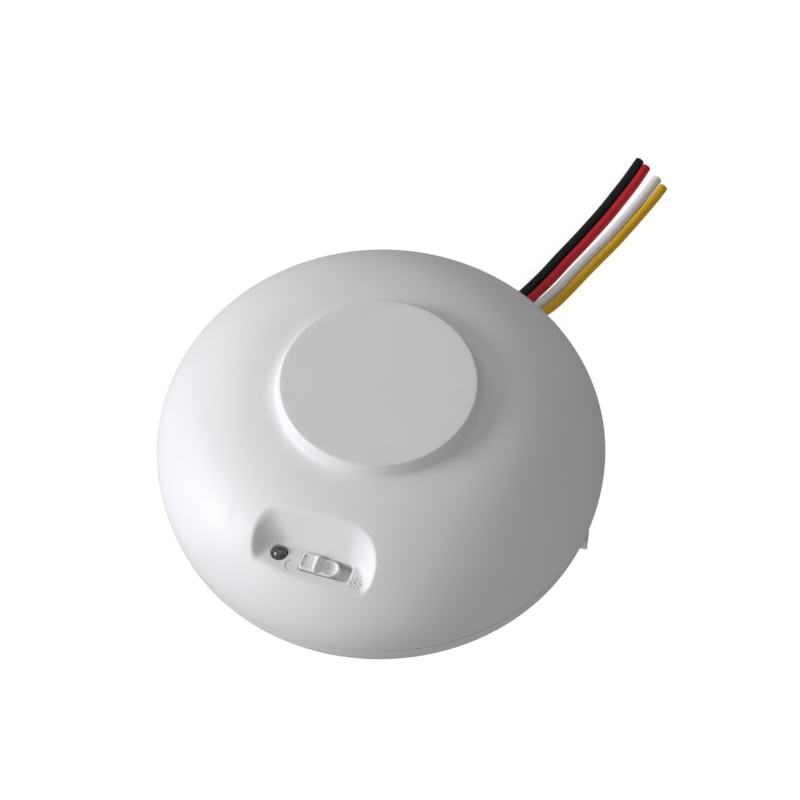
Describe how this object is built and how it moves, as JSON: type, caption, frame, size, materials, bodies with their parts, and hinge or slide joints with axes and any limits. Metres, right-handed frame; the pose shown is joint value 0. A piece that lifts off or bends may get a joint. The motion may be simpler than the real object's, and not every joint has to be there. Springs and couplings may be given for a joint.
{
  "type": "motion sensor",
  "caption": "Round dome motion sensor for surface mounting, with a raised flat disc, a recessed light sensor and slide switch, and lead wires.",
  "frame": {"origin": "centre of the flat back face that lies on the mounting surface", "axes": "+Z out of the mounting surface through the dome; -Y towards the pocket with the switch and the light sensor; +X to the right of someone looking at the pocket"},
  "size_m": [0.0852, 0.1285, 0.0295],
  "materials": {
    "housing_white": "fine moulded matte texture",
    "button_white": "smooth moulded",
    "lens_dark": "clear dark epoxy, glossy",
    "grommet_grey": "matte",
    "board_green": "solder mask, satin",
    "chip_black": "moulded epoxy",
    "tinned_metal": "bright tin",
    "gold_plate": "plated",
    "screw_steel": "zinc plated",
    "relay_blue": "moulded, semi-gloss",
    "capacitor_sleeve": "shrink sleeve, glossy",
    "nylon_ivory": "natural nylon",
    "insulation_black": "extruded PVC, glossy",
    "insulation_red": "extruded PVC, glossy",
    "insulation_white": "extruded PVC, glossy",
    "insulation_yellow": "extruded PVC, glossy",
    "copper_core": "tinned copper strands"
  },
  "bodies": {
    "base": {"base_plate": "housing_white", "wire_grommet": "grommet_grey", "main_board": "board_green", "board_screws": "screw_steel", "wire_header": "nylon_ivory", "wire_plug": "nylon_ivory", "relay": "relay_blue", "relay_pins": "tinned_metal", "capacitor_main": "capacitor_sleeve", "capacitor_small": "capacitor_sleeve", "regulator": "chip_black", "controller_chip": "chip_black", "diodes": "chip_black", "resistors": "chip_black", "module_spacers": "nylon_ivory", "module_screws": "screw_steel", "header_block": "chip_black", "header_pins": "gold_plate", "radar_board": "board_green", "radar_shield": "tinned_metal", "antenna_patches": "gold_plate", "light_sensor": "lens_dark", "sensor_leads": "tinned_metal", "switch_frame": "tinned_metal", "switch_pins": "tinned_metal", "wire_black": "insulation_black", "wire_red": "insulation_red", "wire_white": "insulation_white", "wire_yellow": "insulation_yellow"},
    "cover": {"cover": "housing_white"},
    "slider": {"slider_cap": "button_white"},
    "knob": {"switch_knob": "chip_black"}
  },
  "joints": [
    {"name": "cover_lift", "type": "slide", "parent": "base", "child": "cover", "axis": [0, 0, 1], "range_m": [0, 0.03]},
    {"name": "slider_slide", "type": "slide", "parent": "cover", "child": "slider", "axis": [1, 0, 0], "range_m": [0, 0.002]},
    {"name": "knob_slide", "type": "slide", "parent": "base", "child": "knob", "axis": [1, 0, 0], "range_m": [0, 0.002]}
  ],
  "couplings": [
    {"joint": "knob_slide", "follows": "slider_slide", "ratio": 1}
  ]
}
